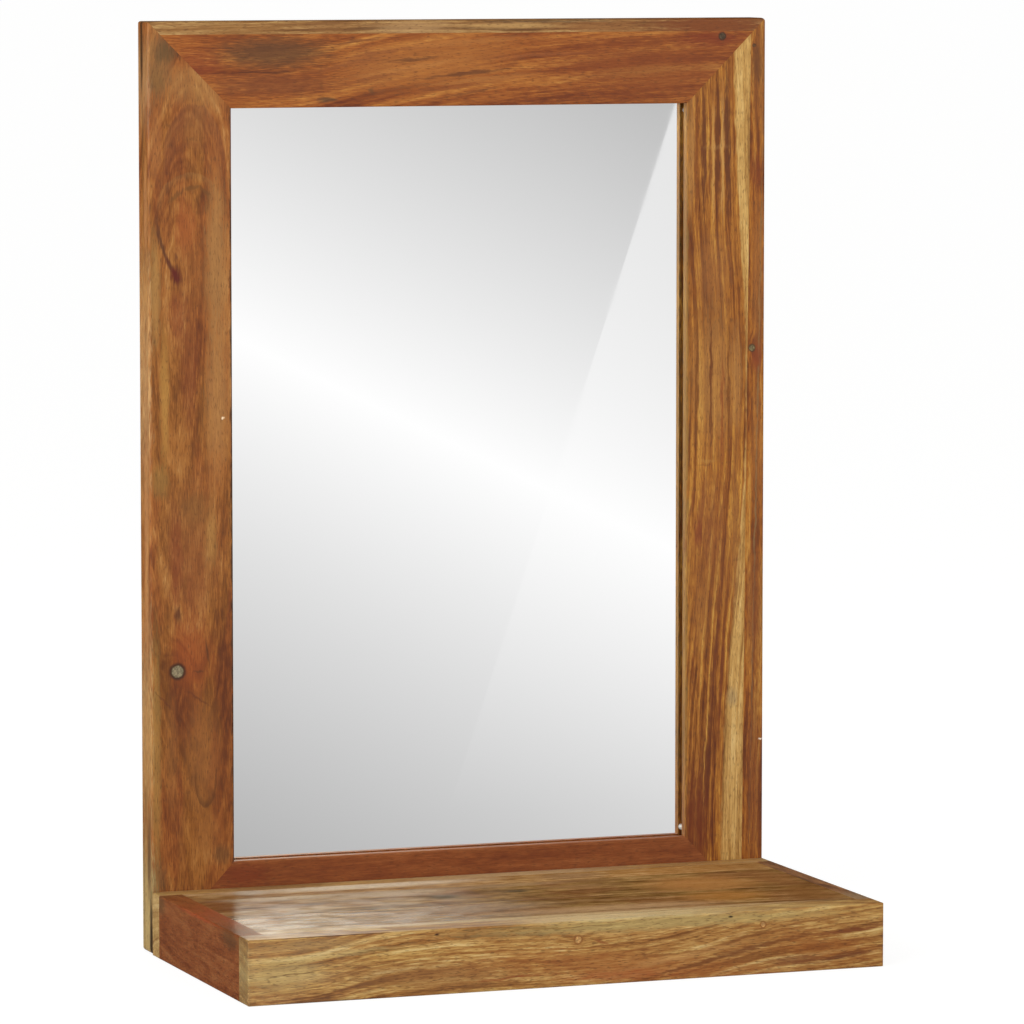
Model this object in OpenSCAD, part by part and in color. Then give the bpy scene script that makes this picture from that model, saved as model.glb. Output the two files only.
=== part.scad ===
// Wall mirror in a mitred solid-wood frame, with a box-built shelf fixed to its foot.
// The frame's back lies against the wall, the shelf stands out in front of it, and
// frame and shelf share one flat base. Millimetres, +Z up, +Y into the wall.

/* [Frame] */
// Width of the frame over its stiles
frame_w = 496; // [420:1:600]
// Height of the frame, from the base to the top
frame_h = 700; // [600:1:900]
// Thickness of the frame, front face to back face
frame_t = 25; // [24:0.5:32]
// Width of the stiles and of the top rail
member_w = 65; // [62:1:80]
// Width of the bottom rail, most of it behind the shelf
bottom_rail_w = 68; // [66:1:90]
// Width of the edge strip glued along the top rail
top_strip_w = 10; // [8:0.5:18]
// Width of the right stile's edge strip at its top end
right_strip_top_w = 12; // [8:0.5:16]
// Width of the right stile's edge strip at its foot
right_strip_foot_w = 18; // [10:0.5:20]
// Radius of the frame's rounded corners, seen from the front
corner_r = 4; // [2.5:0.5:8]
// Radius of the top left corner, which was sanded less
top_left_corner_r = 2.5; // [2.2:0.1:6]
// Radius of the eased edges around the outside of the frame
outer_ease_r = 2; // [0.5:0.1:2.2]
// Radius of the eased edge around the mirror opening
inner_ease_r = 1.2; // [0.4:0.1:2.5]

/* [Mirror] */
// Thickness of the lip that stands in front of the glass
lip_t = 7; // [5:0.5:10]
// How far the glass rebate reaches under the lip
glass_lap = 8; // [7:0.5:10]
// Width of the shoulder that the back panel is screwed to
panel_lap = 12; // [10:0.5:14]
// Thickness of the mirror glass
glass_t = 4; // [3:0.5:5]
// Clearance around the edge of the glass
glass_clear = 0.8; // [0.3:0.1:1]
// Thickness of the packing sheet behind the glass
packing_t = 2; // [1:0.5:3]
// Thickness of the back panel
panel_t = 4; // [3:0.5:5]
// Clearance around the edge of the back panel
panel_clear = 0.8; // [0.3:0.1:1]
// Height of the spacers between lip and glass
spacer_t = 4; // [2:0.5:5]
// Diameter of the spacers
spacer_d = 4.5; // [3:0.5:5]
// Distance of the lower side spacers' centres from the lip's inner edge, near enough to be seen
low_spacer_inset = 2.6; // [2.3:0.1:4]
// Distance of the other spacers' centres from the lip's inner edge
spacer_inset = 4.4; // [3:0.1:4.6]
// Distance of the spacers from the corners of the opening
spacer_corner = 5.5; // [5:0.5:60]

/* [Shelf] */
// Depth of the shelf, from its front face to the frame
shelf_d = 235; // [160:1:300]
// Height of the shelf's boards
shelf_h = 48; // [44:0.5:60]
// Thickness of the front board
front_board_t = 21; // [16:0.5:28]
// Thickness of the back board
back_board_t = 18; // [16:0.5:24]
// Thickness of the left side board
left_side_t = 18; // [13:0.5:24]
// Thickness of the right side board
right_side_t = 13; // [13:0.5:24]
// Thickness of the planks of the top
plank_t = 18; // [15:0.5:22]
// Width of the rear plank
rear_plank_w = 36; // [25:1:50]
// Width of the middle plank
middle_plank_w = 81; // [40:1:100]
// Radius of the shelf's eased outer edges
shelf_ease_r = 1.2; // [0.4:0.1:2.5]
// Width of the cleats and of the batten under the planks
cleat_w = 18; // [15:0.5:24]
// Height of the cleats and of the batten
cleat_h = 18; // [15:0.5:20]
// Width of the batten under the middle of the planks
batten_w = 40; // [25:1:60]

/* [Fixings] */
// Diameter of the dowels in the mitres
mitre_dowel_d = 8; // [6:0.5:8]
// Length of the dowels in the mitres
mitre_dowel_l = 24; // [18:1:26]
// Diameter of the dowels in the shelf's corners
shelf_dowel_d = 6; // [5:0.5:7]
// Length of the dowels in the shelf's corners
shelf_dowel_l = 30; // [24:1:36]
// Distance between the two dowels of one shelf corner
shelf_dowel_pitch = 24; // [16:1:26]
// Depth of the shelf's dowels in its front and back boards
shelf_dowel_depth = 12; // [10:0.5:13]
// Room around a dowel for glue, across the diameter
dowel_clear = 0.2; // [0.1:0.05:0.4]
// Wood left between the mitre dowels and what lies beside them
dowel_margin = 1.2; // [0.6:0.1:1.5]
// Shank diameter of the small screws
small_screw_d = 3.5; // [3:0.1:4]
// Head diameter of the small screws
small_head_d = 7; // [6:0.1:7.5]
// Length of the back panel's screws
panel_screw_l = 14; // [10:1:15]
// Distance of the back panel's side screws from the corners of the opening
panel_screw_corner = 60; // [30:1:120]
// Distance of the back panel's other screws from the mirror's centre line
panel_screw_mid = 100; // [40:1:150]
// Length of the screws that hold the cleats
cleat_screw_l = 28; // [24:1:29]
// Distance of the cleats' foremost screws from the front board
cleat_screw_end = 15; // [12:1:18]
// Length of the screws that go up into the planks
plank_screw_l = 30; // [24:1:31]
// Shank diameter of the screws between frame and shelf
fixing_screw_d = 5; // [4:0.1:5.5]
// Head diameter of the screws between frame and shelf
fixing_head_d = 10; // [8:0.1:11]
// Length of the screws between frame and shelf
fixing_screw_l = 38; // [34:1:40]
// Distance of the outer fixing screws from the frame's sides
fixing_inset = 60; // [56:1:90]
// Room around a screw, across the diameter
screw_clear = 0.2; // [0.1:0.05:0.4]

/* [Hangers] */
// Width of a hanger plate
hanger_w = 18; // [16:0.5:20]
// Length of a hanger plate
hanger_l = 60; // [54:1:70]
// Thickness of a hanger plate
hanger_t = 2; // [1.5:0.1:2.5]
// Distance of a hanger's centre line from the frame's side
hanger_inset = 25; // [24:0.5:28]
// Distance of a hanger's centre below the top of the frame
hanger_drop = 110; // [100:1:200]
// Diameter of the keyhole's round entry
keyhole_d = 9; // [8:0.1:10]
// Width of the keyhole's slot
keyhole_slot_w = 4.5; // [4:0.1:5]
// Travel from the keyhole's entry to the end of its slot
keyhole_travel = 10; // [8:0.5:12]
// Depth of the pocket behind a keyhole
pocket_depth = 10; // [8:0.5:12]
// Room in the pocket on either side of a keyhole
pocket_side_room = 2; // [1:0.25:2.5]
// Room in the pocket above and below a keyhole
pocket_end_room = 3; // [1:0.5:4]
// Room around a hanger plate in its recess
hanger_clear = 0.3; // [0.1:0.1:0.6]
// Distance between the two screws of one hanger
hanger_screw_pitch = 46; // [42:1:50]
// Length of the hanger screws
hanger_screw_l = 16; // [12:1:17]

/* [Hidden] */
$fn = 48;

// How far a cutting solid runs past the face that it cuts
over = 1;

// Places in depth: the origin is at the middle of the whole footprint
depth = shelf_d + frame_t;
back_y = depth / 2;
face_y = back_y - frame_t;
shelf_y = -depth / 2;

// Outline of the frame and of the mirror opening
out_x = frame_w / 2;
in_x = out_x - member_w;
open_lo = bottom_rail_w;
open_hi = frame_h - member_w;

// Layers behind the lip, as places in depth
rebate_y = face_y + lip_t;
glass_y = rebate_y + spacer_t;
packing_y = glass_y + glass_t;
panel_y = packing_y + packing_t;
panel_back_y = panel_y + panel_t;

// Mitre dowels: one set close to the glass rebate, one close to the edge strips
dowel_reach = (mitre_dowel_l / 2 + mitre_dowel_d / 2) / sqrt(2);
dowel_inner_u = glass_lap + dowel_reach + dowel_margin;
dowel_outer_u = member_w - max(top_strip_w, right_strip_foot_w, right_strip_top_w) - dowel_reach - dowel_margin;
dowel_y = (face_y + panel_y) / 2;

// Shelf: the space between its four boards, and the planks that fill it
inner_back_y = face_y - back_board_t;
inner_front_y = shelf_y + front_board_t;
inner_left_x = -out_x + left_side_t;
inner_right_x = out_x - right_side_t;
inner_d = inner_back_y - inner_front_y;
rear_seam_y = inner_back_y - rear_plank_w;
middle_seam_y = rear_seam_y - middle_plank_w;
plank_z = shelf_h - plank_t;
cleat_z = plank_z - cleat_h;
plank_mid_ys = [
    (inner_back_y + rear_seam_y) / 2, (rear_seam_y + middle_seam_y) / 2, (middle_seam_y + inner_front_y) / 2
];
cleat_screw_ys = [rear_seam_y, middle_seam_y, inner_front_y + cleat_screw_end];
shelf_dowel_zs = [shelf_h / 2 - shelf_dowel_pitch / 2, shelf_h / 2 + shelf_dowel_pitch / 2];
left_side_mid_x = -out_x + left_side_t / 2;
right_side_mid_x = out_x - right_side_t / 2;
batten_x = (inner_left_x + inner_right_x) / 2;

// Screws of the back panel, along the middle of its shoulder
shoulder_u = glass_lap + panel_lap / 2;
panel_screw_places = concat(
    [for (s = [-1, 1], z = [open_lo + panel_screw_corner, (open_lo + open_hi) / 2, open_hi - panel_screw_corner])
        [s * (in_x + shoulder_u), z]],
    [for (s = [-1, 1], z = [open_lo - shoulder_u, open_hi + shoulder_u]) [s * panel_screw_mid, z]]
);

// Spacers near the four corners of the opening, two in each
spacer_places = [for (sx = [-1, 1], up = [0, 1], along = [0, 1])
    let (edge_x = in_x + (up == 1 ? spacer_inset : low_spacer_inset), edge_z = up == 1 ? open_hi + spacer_inset : open_lo - spacer_inset,
         off_x = in_x - spacer_corner, off_z = up == 1 ? open_hi - spacer_corner : open_lo + spacer_corner)
    along == 1 ? [sx * off_x, edge_z] : [sx * edge_x, off_z]];

// Screws between frame and shelf, at half the shelf's height
fixing_xs = [-out_x + fixing_inset, -(out_x - fixing_inset) / 3, (out_x - fixing_inset) / 3, out_x - fixing_inset];
fixing_z = shelf_h / 2;

// Hangers
hanger_x = out_x - hanger_inset;
hanger_z = frame_h - hanger_drop;
keyhole_z = hanger_z - keyhole_travel / 2;
pocket_w = keyhole_d + 2 * pocket_side_room;
pocket_l = keyhole_travel + keyhole_d + 2 * pocket_end_room;

// ---- shapes that several pieces share ----

// Waste of a rounded corner at the origin, for a body that lies towards +X +Y
module corner_waste(r) {
    difference() {
        translate([-over, -over]) square(r + over);
        translate([r, r]) circle(r);
    }
}

// Rectangle from the origin with one radius per corner: low left, low right, high right, high left
module rounded_outline(w, h, radii) {
    difference() {
        square([w, h]);
        corner_waste(radii[0]);
        translate([w, 0]) mirror([1, 0]) corner_waste(radii[1]);
        translate([w, h]) mirror([1, 0]) mirror([0, 1]) corner_waste(radii[2]);
        translate([0, h]) mirror([0, 1]) corner_waste(radii[3]);
    }
}

// A flat outline in X and Z, stood up and given a thickness from low_y to high_y
module upright(low_y, high_y) {
    translate([0, high_y, 0]) rotate([90, 0, 0]) linear_extrude(high_y - low_y) children();
}

// Block with every long edge eased to r and its front corners to radii
module eased_block(low, high, r, radii) {
    size = high - low;
    edge = [r, r, r, r];
    intersection() {
        translate([low.x, 0, low.z]) upright(low.y, high.y) rounded_outline(size.x, size.z, radii);
        translate([low.x, low.y, low.z - over]) linear_extrude(size.z + 2 * over)
            rounded_outline(size.x, size.y, edge);
        translate([low.x - over, low.y, low.z]) rotate([90, 0, 90]) linear_extrude(size.x + 2 * over)
            rounded_outline(size.y, size.z, edge);
    }
}

// Countersunk wood screw: head flush with z = 0, point towards -Z; grow makes it a hole
module screw_body(d, head_d, l, grow = 0) {
    head_h = (head_d - d) / 2;
    shank_r = (d + grow) / 2;
    head_r = (head_d + grow) / 2;
    tip_l = d;
    translate([0, 0, -head_h]) cylinder(head_h, shank_r, head_r);
    translate([0, 0, -l + tip_l - grow]) cylinder(l - tip_l - head_h + grow, shank_r, shank_r);
    translate([0, 0, -l - grow]) cylinder(tip_l, d / 8, shank_r);
    if (grow > 0) cylinder(over, head_r, head_r);
}

// The same screw with its cross recess
module wood_screw(d, head_d, l) {
    recess_l = head_d * 0.55;
    recess_w = head_d * 0.13;
    recess_h = (head_d - d) / 2;
    difference() {
        screw_body(d, head_d, l);
        for (a = [0, 90]) rotate([0, 0, a])
            translate([-recess_l / 2, -recess_w / 2, -recess_h]) cube([recess_l, recess_w, recess_h + over]);
    }
}

// ---- frame ----

// Whole outer form of the frame, before it is cut into its four members
module frame_form() {
    eased_block([-out_x, face_y, 0], [out_x, back_y, frame_h], outer_ease_r,
        [corner_r, corner_r, corner_r, top_left_corner_r]);
}

// A point on the mitre from an inner corner to its outer corner; f is 0 inside and 1 outside
function mitre_point(sx, top, f) =
    let (inner = [sx * in_x, top ? open_hi : open_lo], outer = [sx * out_x, top ? frame_h : 0])
    inner + f * (outer - inner);

// Zone between two mitres that a stile (side -1 or 1) or a rail takes up; it ends
// past the outer corners, at this share of a member's width
past = 1.2;
module stile_zone(side) {
    upright(face_y - over, back_y + over) polygon([
        mitre_point(side, false, 0), mitre_point(side, true, 0),
        mitre_point(side, true, past), mitre_point(side, false, past)]);
}
module rail_zone(top) {
    upright(face_y - over, back_y + over) polygon([
        mitre_point(-1, top, 0), mitre_point(1, top, 0), mitre_point(1, top, past), mitre_point(-1, top, past)]);
}

// Rebates for the glass and for the back panel, cut from the back
module rebates() {
    for (r = [[rebate_y, glass_lap], [panel_y, glass_lap + panel_lap]])
        translate([-in_x - r[1], r[0], open_lo - r[1]])
            cube([2 * (in_x + r[1]), back_y - r[0] + over, open_hi - open_lo + 2 * r[1]]);
}

// Eased front edge of the opening along a stile, and along a rail
module stile_ease(side) {
    reach = 2 * inner_ease_r;
    translate([side * in_x, face_y, open_lo - reach]) linear_extrude(open_hi - open_lo + 2 * reach)
        mirror([side < 0 ? 1 : 0, 0]) corner_waste(inner_ease_r);
}
module rail_ease(top) {
    reach = 2 * inner_ease_r;
    translate([-in_x - reach, face_y, top ? open_hi : open_lo]) rotate([90, 0, 90])
        linear_extrude(2 * (in_x + reach)) mirror([0, top ? 0 : 1]) corner_waste(inner_ease_r);
}

// Everything that is bored into the frame's members
module frame_bores() {
    mitre_dowel_set(mitre_dowel_d + dowel_clear, mitre_dowel_l + 2 * dowel_clear);
    panel_screw_set(screw_clear);
    fixing_screw_set(screw_clear);
    hanger_screw_set(screw_clear);
    for (s = [-1, 1]) hanger_recess(s);
}

module frame_stile(side) {
    difference() {
        intersection() {
            frame_form();
            stile_zone(side);
        }
        rebates();
        stile_ease(side);
        frame_bores();
    }
}
module frame_rail(top) {
    difference() {
        intersection() {
            frame_form();
            rail_zone(top);
        }
        rebates();
        rail_ease(top);
        frame_bores();
    }
}

// Zones of the glued-on edge strips
module right_strip_zone() {
    upright(face_y - over, back_y + over) polygon([
        [out_x - right_strip_foot_w, 0], [out_x + over, 0],
        [out_x + over, frame_h + over], [out_x - right_strip_top_w, frame_h + over]]);
}
module top_strip_zone() {
    translate([-out_x - over, face_y - over, frame_h - top_strip_w])
        cube([frame_w + 2 * over, frame_t + 2 * over, top_strip_w + over]);
}

module left_stile() { color("#96602f") frame_stile(-1); }
module right_stile() {
    color("#a8733c") difference() {
        frame_stile(1);
        right_strip_zone();
    }
}
module right_edge_strip() {
    color("#8f5a2c") intersection() {
        frame_stile(1);
        right_strip_zone();
    }
}
module top_rail() {
    color("#8a5027") difference() {
        frame_rail(true);
        top_strip_zone();
    }
}
module top_edge_strip() {
    color("#a07645") intersection() {
        frame_rail(true);
        top_strip_zone();
    }
}
module bottom_rail() { color("#7c4422") frame_rail(false); }

// Two dowels across each mitre, square to it
module mitre_dowel_set(d, l) {
    for (sx = [-1, 1], top = [false, true], u = [dowel_inner_u, dowel_outer_u]) {
        at = mitre_point(sx, top, u / member_w);
        along = mitre_point(sx, top, 1) - mitre_point(sx, top, 0);
        translate([at.x, dowel_y, at.y]) rotate([0, atan2(along.y, -along.x), 0])
            cylinder(l, d / 2, d / 2, center = true);
    }
}
module mitre_dowels() { color("#d9bd8f") mitre_dowel_set(mitre_dowel_d, mitre_dowel_l); }

// ---- mirror ----

// Flat sheet behind the opening that runs lap past its edges
module sheet(low_y, t, lap) {
    translate([-in_x - lap, low_y, open_lo - lap]) cube([2 * (in_x + lap), t, open_hi - open_lo + 2 * lap]);
}
module mirror_glass() { color("#c9ced2") sheet(glass_y, glass_t, glass_lap - glass_clear); }
module glass_spacers() {
    color("#e8ecee") for (p = spacer_places)
        translate([p.x, rebate_y, p.y]) rotate([-90, 0, 0]) cylinder(spacer_t, spacer_d / 2, spacer_d / 2);
}
module packing_sheet() { color("#e4e2da") sheet(packing_y, packing_t, glass_lap - glass_clear); }
module panel_screw_set(grow) {
    for (p = panel_screw_places) translate([p.x, panel_back_y, p.y]) rotate([-90, 0, 0])
        screw_body(small_screw_d, small_head_d, panel_screw_l, grow);
}
module back_panel() {
    color("#b08a5e") difference() {
        sheet(panel_y, panel_t, glass_lap + panel_lap - panel_clear);
        panel_screw_set(screw_clear);
    }
}
module panel_screws() {
    color("#b8babb") for (p = panel_screw_places) translate([p.x, panel_back_y, p.y]) rotate([-90, 0, 0])
        wood_screw(small_screw_d, small_head_d, panel_screw_l);
}

// ---- hangers ----

// Recess for a plate, and the pocket behind its keyhole
module hanger_recess(side) {
    w = hanger_w + 2 * hanger_clear;
    l = hanger_l + 2 * hanger_clear;
    translate([side * hanger_x - w / 2, back_y - hanger_t, hanger_z - l / 2]) cube([w, hanger_t + over, l]);
    translate([side * hanger_x - pocket_w / 2, back_y - pocket_depth, hanger_z - pocket_l / 2])
        cube([pocket_w, pocket_depth + over, pocket_l]);
}
module hanger_plate(side) {
    difference() {
        translate([side * hanger_x - hanger_w / 2, back_y - hanger_t, hanger_z - hanger_l / 2])
            cube([hanger_w, hanger_t, hanger_l]);
        translate([side * hanger_x, back_y - hanger_t - over, keyhole_z]) rotate([-90, 0, 0])
            cylinder(hanger_t + 2 * over, keyhole_d / 2, keyhole_d / 2);
        translate([side * hanger_x, back_y - hanger_t - over, keyhole_z + keyhole_travel]) rotate([-90, 0, 0])
            cylinder(hanger_t + 2 * over, keyhole_slot_w / 2, keyhole_slot_w / 2);
        translate([side * hanger_x - keyhole_slot_w / 2, back_y - hanger_t - over, keyhole_z])
            cube([keyhole_slot_w, hanger_t + 2 * over, keyhole_travel]);
        hanger_screw_set(screw_clear);
    }
}
module hanger_screw_places() {
    for (s = [-1, 1], e = [-1, 1])
        translate([s * hanger_x, back_y, hanger_z + e * hanger_screw_pitch / 2]) rotate([-90, 0, 0]) children();
}
module hanger_screw_set(grow) {
    hanger_screw_places() screw_body(small_screw_d, small_head_d, hanger_screw_l, grow);
}
module hanger_plate_left() { color("#9ea2a6") hanger_plate(-1); }
module hanger_plate_right() { color("#9ea2a6") hanger_plate(1); }
module hanger_screws() {
    color("#b8babb") hanger_screw_places() wood_screw(small_screw_d, small_head_d, hanger_screw_l);
}

// ---- shelf ----

module shelf_form() {
    eased_block([-out_x, shelf_y, 0], [out_x, face_y, shelf_h], shelf_ease_r,
        [shelf_ease_r, shelf_ease_r, shelf_ease_r, shelf_ease_r]);
}

// The part of the shelf's outer form that lies between two X and two Y places
module shelf_cut(x0, x1, y0, y1) {
    intersection() {
        shelf_form();
        translate([x0, y0, -over]) cube([x1 - x0, y1 - y0, shelf_h + 2 * over]);
    }
}

// Dowels from the front and back boards into the ends of the side boards
module shelf_dowel_set(d, l) {
    for (x = [left_side_mid_x, right_side_mid_x], z = shelf_dowel_zs) {
        translate([x, inner_front_y + shelf_dowel_l / 2 - shelf_dowel_depth, z]) rotate([90, 0, 0])
            cylinder(l, d / 2, d / 2, center = true);
        translate([x, inner_back_y - shelf_dowel_l / 2 + shelf_dowel_depth, z]) rotate([90, 0, 0])
            cylinder(l, d / 2, d / 2, center = true);
    }
}
module shelf_dowel_bores() { shelf_dowel_set(shelf_dowel_d + dowel_clear, shelf_dowel_l + 2 * dowel_clear); }

module shelf_front_board() {
    color("#b08246") difference() {
        shelf_cut(-out_x - over, out_x + over, shelf_y - over, inner_front_y);
        shelf_dowel_bores();
    }
}
module shelf_back_board() {
    color("#a8854e") difference() {
        shelf_cut(-out_x - over, out_x + over, inner_back_y, face_y + over);
        shelf_dowel_bores();
        fixing_screw_set(screw_clear);
    }
}
module shelf_left_side() {
    color("#7d4a2e") difference() {
        shelf_cut(-out_x - over, inner_left_x, inner_front_y, inner_back_y);
        shelf_dowel_bores();
        cleat_screw_set(screw_clear);
    }
}
module shelf_right_side() {
    color("#6f4a30") difference() {
        shelf_cut(inner_right_x, out_x + over, inner_front_y, inner_back_y);
        shelf_dowel_bores();
        cleat_screw_set(screw_clear);
    }
}
module shelf_dowels() { color("#d9bd8f") shelf_dowel_set(shelf_dowel_d, shelf_dowel_l); }

module plank(y0, y1) {
    difference() {
        translate([inner_left_x, y0, plank_z]) cube([inner_right_x - inner_left_x, y1 - y0, plank_t]);
        plank_screw_set(screw_clear);
    }
}
module shelf_rear_plank() { color("#b39057") plank(rear_seam_y, inner_back_y); }
module shelf_middle_plank() { color("#8f5d36") plank(middle_seam_y, rear_seam_y); }
module shelf_front_plank() { color("#94683f") plank(inner_front_y, middle_seam_y); }

// Cleats along the side boards and a batten across the middle, under the planks
module cleat(x0, w) {
    difference() {
        translate([x0, inner_front_y, cleat_z]) cube([w, inner_d, cleat_h]);
        cleat_screw_set(screw_clear);
        plank_screw_set(screw_clear);
    }
}
module shelf_left_cleat() { color("#9a6a3d") cleat(inner_left_x, cleat_w); }
module shelf_right_cleat() { color("#9a6a3d") cleat(inner_right_x - cleat_w, cleat_w); }
module shelf_batten() { color("#9a6a3d") cleat(batten_x - batten_w / 2, batten_w); }

// Screws through the cleats into the side boards
module cleat_screw_places() {
    z = cleat_z + cleat_h / 2;
    for (y = cleat_screw_ys) {
        translate([inner_left_x + cleat_w, y, z]) rotate([0, 90, 0]) children();
        translate([inner_right_x - cleat_w, y, z]) rotate([0, -90, 0]) children();
    }
}
module cleat_screw_set(grow) {
    cleat_screw_places() screw_body(small_screw_d, small_head_d, cleat_screw_l, grow);
}
module cleat_screws() {
    color("#b8babb") cleat_screw_places() wood_screw(small_screw_d, small_head_d, cleat_screw_l);
}

// Screws from below through cleats and batten into each plank
module plank_screw_places() {
    for (x = [inner_left_x + cleat_w / 2, batten_x, inner_right_x - cleat_w / 2], y = plank_mid_ys)
        translate([x, y, cleat_z]) rotate([180, 0, 0]) children();
}
module plank_screw_set(grow) {
    plank_screw_places() screw_body(small_screw_d, small_head_d, plank_screw_l, grow);
}
module plank_screws() {
    color("#b8babb") plank_screw_places() wood_screw(small_screw_d, small_head_d, plank_screw_l);
}

// Screws from behind the frame into the shelf's back board
module fixing_screw_places() {
    for (x = fixing_xs) translate([x, back_y, fixing_z]) rotate([-90, 0, 0]) children();
}
module fixing_screw_set(grow) {
    fixing_screw_places() screw_body(fixing_screw_d, fixing_head_d, fixing_screw_l, grow);
}
module shelf_fixing_screws() {
    color("#b8babb") fixing_screw_places() wood_screw(fixing_screw_d, fixing_head_d, fixing_screw_l);
}

left_stile();
right_stile();
right_edge_strip();
top_rail();
top_edge_strip();
bottom_rail();
mitre_dowels();
mirror_glass();
glass_spacers();
packing_sheet();
back_panel();
panel_screws();
hanger_plate_left();
hanger_plate_right();
hanger_screws();
shelf_front_board();
shelf_back_board();
shelf_left_side();
shelf_right_side();
shelf_rear_plank();
shelf_middle_plank();
shelf_front_plank();
shelf_left_cleat();
shelf_right_cleat();
shelf_batten();
shelf_dowels();
cleat_screws();
plank_screws();
shelf_fixing_screws();
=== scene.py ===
# %% [markdown]
# # Mirror with shelf
# A portrait mirror in a mitred frame of solid acacia, with a deep box-built shelf across its foot.
# The construction comes as fixed CAD pieces. This script gives every board its own timber, dresses
# the glass, the beads, the back and the hardware, and sets the studio: camera, floor and light.

# %% Load the fixed frame
import math

import bpy
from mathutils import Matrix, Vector

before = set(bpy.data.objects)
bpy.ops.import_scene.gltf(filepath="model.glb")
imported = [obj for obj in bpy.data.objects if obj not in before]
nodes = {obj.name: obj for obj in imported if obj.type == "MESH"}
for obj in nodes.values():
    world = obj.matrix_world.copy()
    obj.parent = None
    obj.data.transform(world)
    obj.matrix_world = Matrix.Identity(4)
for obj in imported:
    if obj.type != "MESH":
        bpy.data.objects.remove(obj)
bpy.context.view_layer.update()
MM = 0.001

# %% [markdown]
# ## Camera
# The photograph looks at the mirror from the left and a little from above, through a long lens, so
# that upright edges stay nearly parallel. The camera looks at one point on the object's middle
# plane. A long lens far away, instead of a short one close by, is what keeps the frame's sides
# from running together.

# %% Camera
CAMERA_AZIMUTH = math.radians(-20.247)
CAMERA_ELEVATION = math.radians(5.519)
CAMERA_DISTANCE = 4.6095
CAMERA_LENS_MM = 217.65
CAMERA_TARGET = Vector((0.0014, 0.0, 0.3361))

camera_data = bpy.data.cameras.new("camera")
camera_data.lens = CAMERA_LENS_MM
camera_data.sensor_width = 36.0
camera = bpy.data.objects.new("camera", camera_data)
bpy.context.scene.collection.objects.link(camera)
towards_camera = Vector((
    math.sin(CAMERA_AZIMUTH) * math.cos(CAMERA_ELEVATION),
    -math.cos(CAMERA_AZIMUTH) * math.cos(CAMERA_ELEVATION),
    math.sin(CAMERA_ELEVATION),
))
camera.location = CAMERA_TARGET + towards_camera * CAMERA_DISTANCE
camera.rotation_euler = towards_camera.to_track_quat("Z", "Y").to_euler()
bpy.context.scene.camera = camera
bpy.context.scene.view_settings.view_transform = "Standard"
print("camera at", tuple(round(c, 3) for c in camera.location))

# %% [markdown]
# ## Node helpers
# Every finish below is a node tree. Two small functions keep that readable: one turns a colour as
# it is written on screen (sRGB hex) into the linear numbers that a shader wants, and one adds a
# node with its settings and its links.

# %% Helpers for materials
def linear(hex_colour):
    """sRGB hex, as read from a picture, to linear RGBA."""
    channels = [int(hex_colour[i:i + 2], 16) / 255 for i in (1, 3, 5)]
    return [c / 12.92 if c <= 0.04045 else ((c + 0.055) / 1.055) ** 2.4 for c in channels] + [1.0]


def add(tree, kind, links=None, **settings):
    """Adds a node, sets its own properties, and links or sets its inputs by name or number."""
    node = tree.nodes.new(kind)
    for name, value in settings.items():
        setattr(node, name, value)
    shown = [socket for socket in node.inputs if socket.enabled]
    for key, value in (links or {}).items():
        socket = shown[key] if isinstance(key, int) else next(s for s in shown if s.name == key)
        if isinstance(value, bpy.types.Node):
            value = next(s for s in value.outputs if s.enabled)
        if isinstance(value, bpy.types.NodeSocket):
            tree.links.new(value, socket)
        else:
            socket.default_value = value
    return node


def new_material(name):
    """An empty material with a Principled shader on its output."""
    material = bpy.data.materials.new(name)
    material.use_nodes = True
    tree = material.node_tree
    tree.nodes.clear()
    shader = add(tree, "ShaderNodeBsdfPrincipled")
    add(tree, "ShaderNodeOutputMaterial", {"Surface": shader})
    return material, tree, shader


def dress(material, *names):
    """Gives a finish to CAD pieces."""
    for name in names:
        mesh = nodes[name].data
        mesh.materials.clear()
        mesh.materials.append(material)
    print(material.name, "->", ", ".join(names))


# %% [markdown]
# ## Timber: where a board's figure comes from
# A board is cut out of a log, and its figure is the log's growth rings cut open. So the material
# is solid: it works out how far a point lies from the log's pith, and turns that distance into
# bands of dark and pale wood. Where the pith runs at a slant to the face, the rings come out as
# nested arches; where it runs beside the board, they come out as straight stripes. The pith
# wanders along the log, and each board says how, in a few points.

# %% Place in the log and distance from its pith
PITH_REACH = 800.0  # a curve node works from -1 to 1, so paths are drawn as shares of this many mm
THROUGH = 1e6  # an oval goes right through the board
SMOOTH = {"interpolation_type": "SMOOTHSTEP"}


def log_place(tree, across, deep, along):
    """Object coordinates in millimetres: across the board, into it, and along its grain."""
    place = add(tree, "ShaderNodeTexCoord").outputs["Object"]
    in_mm = add(tree, "ShaderNodeVectorMath", {0: place, 1: 1 / MM}, operation="SCALE")
    xyz = add(tree, "ShaderNodeSeparateXYZ", {0: in_mm}).outputs
    return add(tree, "ShaderNodeCombineXYZ", {0: xyz[across], 1: xyz[deep], 2: xyz[along]})


def grain_noise(tree, place, wide, long, detail=2.0, seed=0.0):
    """Noise that is stretched along the grain: wide across it and long along it, in millimetres."""
    spot = add(tree, "ShaderNodeVectorMath", {0: place, 1: (1 / wide, 1 / wide, 1 / long)},
               operation="MULTIPLY")
    return add(tree, "ShaderNodeTexNoise", {"Vector": spot, "W": seed, "Scale": 1.0, "Detail": detail},
               noise_dimensions="4D")


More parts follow.
